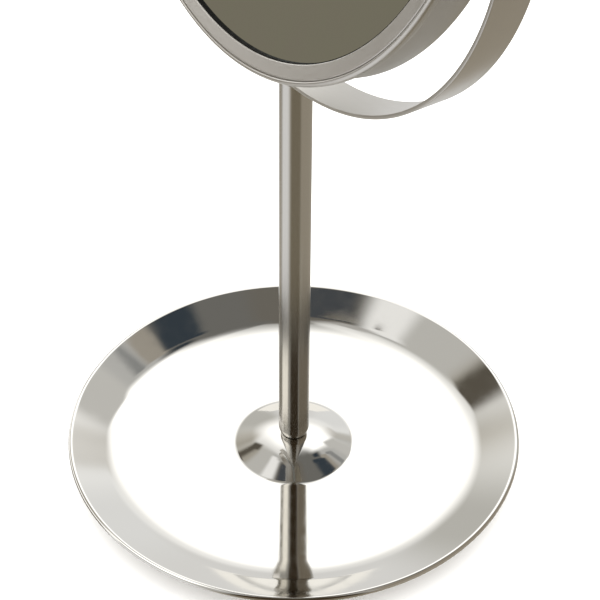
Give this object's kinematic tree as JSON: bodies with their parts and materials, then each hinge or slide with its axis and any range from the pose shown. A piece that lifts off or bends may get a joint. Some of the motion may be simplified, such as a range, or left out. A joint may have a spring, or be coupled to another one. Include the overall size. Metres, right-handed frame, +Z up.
{
  "type": "extendable shaving mirror",
  "caption": "Round two-sided shaving mirror tilting in a flat-band yoke on a telescopic stem, standing on a round polished steel tray foot.",
  "frame": {"origin": "on the surface that the mirror stands on, at the middle of its round foot", "axes": "+Z up along the stem, +X along the tilt axis through both pivots, -Y is where the plain side looks at rest (it also looks up a little)"},
  "size_m": [0.1962, 0.15, 0.3326],
  "materials": {
    "polished_stainless": "mirror polished",
    "satin_stainless": "satin brushed",
    "silvered_glass": "back-silvered glass",
    "black_rubber": "matt",
    "black_acetal": "moulded",
    "grey_foam_board": "open foam",
    "grey_abs": "moulded",
    "plain_steel": "turned",
    "zinc_plated_steel": "zinc plated",
    "brass": "turned"
  },
  "bodies": {
    "base_and_stem": {"base_dish": "polished_stainless", "base_weight": "plain_steel", "base_pad": "black_rubber", "stem_bolt": "zinc_plated_steel", "stem_bolt_washer": "zinc_plated_steel", "stem_bolt_spring_washer": "zinc_plated_steel", "stem_tube": "satin_stainless", "stem_foot_plug": "plain_steel", "guide_bush": "black_acetal"},
    "glide": {"friction_glide": "black_acetal"},
    "yoke_and_inner_tube": {"inner_tube": "satin_stainless", "inner_tube_end_plug": "plain_steel", "glide_retaining_ring": "zinc_plated_steel", "inner_tube_top_plug": "satin_stainless", "yoke": "satin_stainless", "yoke_saddle_washer": "zinc_plated_steel", "yoke_screw": "zinc_plated_steel", "pivot_bushes": "black_acetal", "pivot_washers": "black_acetal"},
    "mirror_head": {"case_band": "satin_stainless", "front_bezel": "satin_stainless", "rear_bezel": "satin_stainless", "front_glass": "silvered_glass", "rear_magnifying_glass": "silvered_glass", "front_gasket": "black_rubber", "rear_gasket": "black_rubber", "glass_backing_disc": "grey_foam_board", "case_core_ring": "grey_abs", "pivot_inserts": "brass", "pivot_spacers": "satin_stainless", "pivot_cone_springs": "zinc_plated_steel", "pivot_screws": "satin_stainless"}
  },
  "joints": [
    {"name": "stem_extension", "type": "slide", "parent": "base_and_stem", "child": "glide", "axis": [0, 0, 1], "range_m": [0, 0.09]},
    {"name": "yoke_swivel", "type": "hinge", "parent": "glide", "child": "yoke_and_inner_tube", "pos_m": [0, 0, 0.15], "axis": [0, 0, 1], "continuous": true},
    {"name": "head_tilt", "type": "hinge", "parent": "yoke_and_inner_tube", "child": "mirror_head", "pos_m": [0, 0, 0.24918], "axis": [1, 0, 0], "continuous": true}
  ]
}
